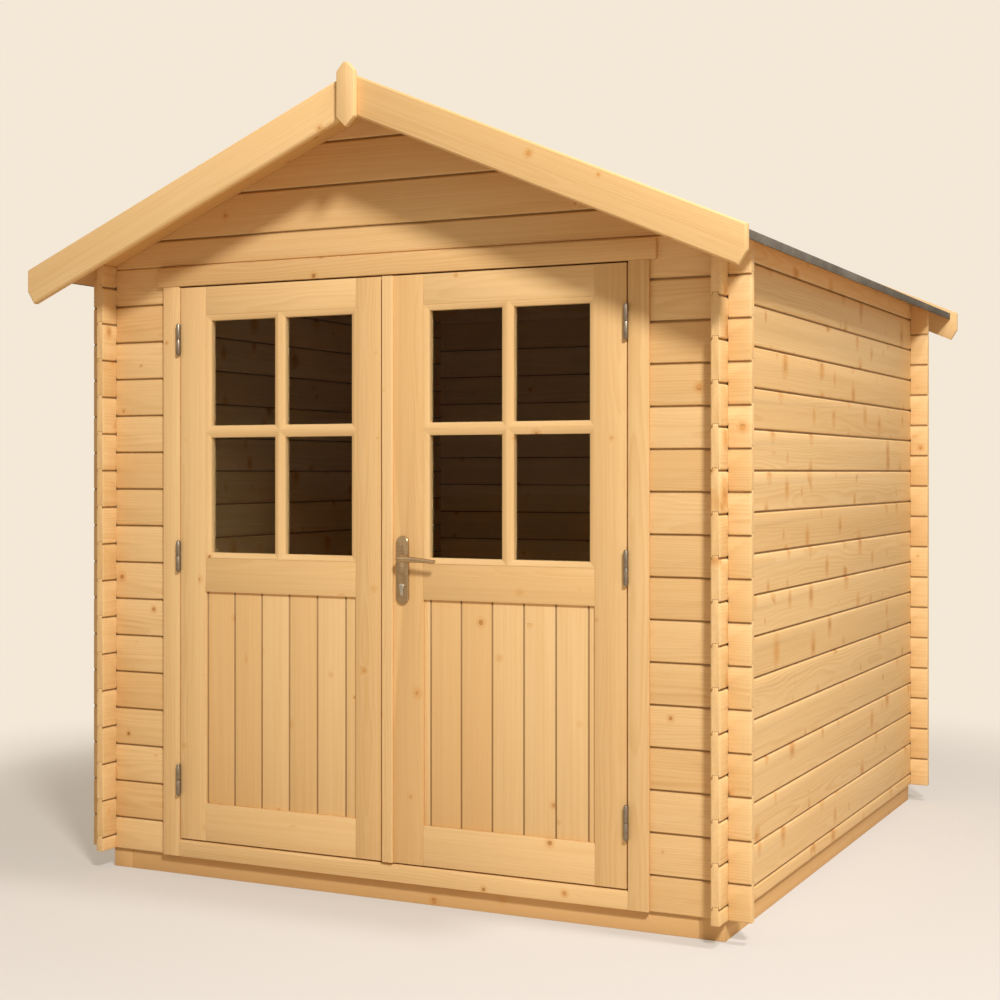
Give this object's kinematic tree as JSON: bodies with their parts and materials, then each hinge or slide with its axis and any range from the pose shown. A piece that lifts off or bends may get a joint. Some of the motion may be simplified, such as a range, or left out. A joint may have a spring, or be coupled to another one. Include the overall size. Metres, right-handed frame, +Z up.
{
  "type": "garden shed",
  "caption": "Gabled wooden garden shed of interlocking boards with a glazed double door, hollow inside, for storing tools and garden goods.",
  "frame": {"origin": "on the ground under the middle of the roof's box", "axes": "+Z up, -Y is the front with the double door, +X to the right as seen from the front"},
  "size_m": [2.28, 2.7112, 2.3662],
  "materials": {
    "wall_boards": "planed spruce, knotty, untreated",
    "trim_boards": "planed spruce, chamfered edges",
    "door_timber": "planed spruce, fine grain",
    "floor_boarding": "planed spruce boards",
    "roof_timber": "planed spruce boards",
    "base_timber": "sawn spruce beams",
    "roofing_felt": "grey mineral granules",
    "window_glass": "clear",
    "steel": "zinc plated",
    "handle_steel": "satin",
    "lock_brass": "nickel plated lock"
  },
  "bodies": {
    "shed": {"base_beam_front": "base_timber", "base_beam_back": "base_timber", "base_beam_left": "base_timber", "base_beam_right": "base_timber", "floor_joists": "base_timber", "floor_boards": "floor_boarding", "front_wall_left": "wall_boards", "front_wall_right": "wall_boards", "back_wall": "wall_boards", "left_wall": "wall_boards", "right_wall": "wall_boards", "front_gable": "wall_boards", "back_gable": "wall_boards", "ridge_purlin": "roof_timber", "roof_boards_left": "roof_timber", "roof_boards_right": "roof_timber", "roof_felt_left": "roofing_felt", "roof_felt_right": "roofing_felt", "ridge_felt": "roofing_felt", "bargeboard_front_left": "trim_boards", "bargeboard_front_right": "trim_boards", "bargeboard_back_left": "trim_boards", "bargeboard_back_right": "trim_boards", "king_board_front": "trim_boards", "king_board_back": "trim_boards", "door_jamb_left": "trim_boards", "door_jamb_right": "trim_boards", "door_head": "trim_boards", "door_threshold": "trim_boards", "door_head_trims": "trim_boards", "frame_hinges_left": "steel", "frame_hinges_right": "steel"},
    "left_leaf": {"left_leaf_stiles": "door_timber", "left_leaf_rails": "door_timber", "left_leaf_bars": "door_timber", "left_leaf_panel": "door_timber", "left_leaf_glass": "window_glass", "left_leaf_hinges": "steel"},
    "right_leaf": {"right_leaf_stiles": "door_timber", "right_leaf_rails": "door_timber", "right_leaf_bars": "door_timber", "right_leaf_panel": "door_timber", "right_leaf_glass": "window_glass", "right_leaf_hinges": "steel", "astragal": "door_timber", "handle_plates": "handle_steel", "lock_cylinder": "lock_brass"},
    "lever": {"lever_handle": "handle_steel"}
  },
  "joints": [
    {"name": "left_door", "type": "hinge", "parent": "shed", "child": "left_leaf", "pos_m": [-0.735, -1.1193, 1], "axis": [0, 0, -1], "range_deg": [0, 110]},
    {"name": "right_door", "type": "hinge", "parent": "shed", "child": "right_leaf", "pos_m": [0.735, -1.1193, 1], "axis": [0, 0, 1], "range_deg": [0, 110]},
    {"name": "lever_turn", "type": "hinge", "parent": "right_leaf", "child": "lever", "pos_m": [0.0465, -1.09, 0.99], "axis": [0, 1, 0], "range_deg": [0, 35], "stiffness_Nm_per_rad": 1.5, "springref_deg": -20.05}
  ]
}
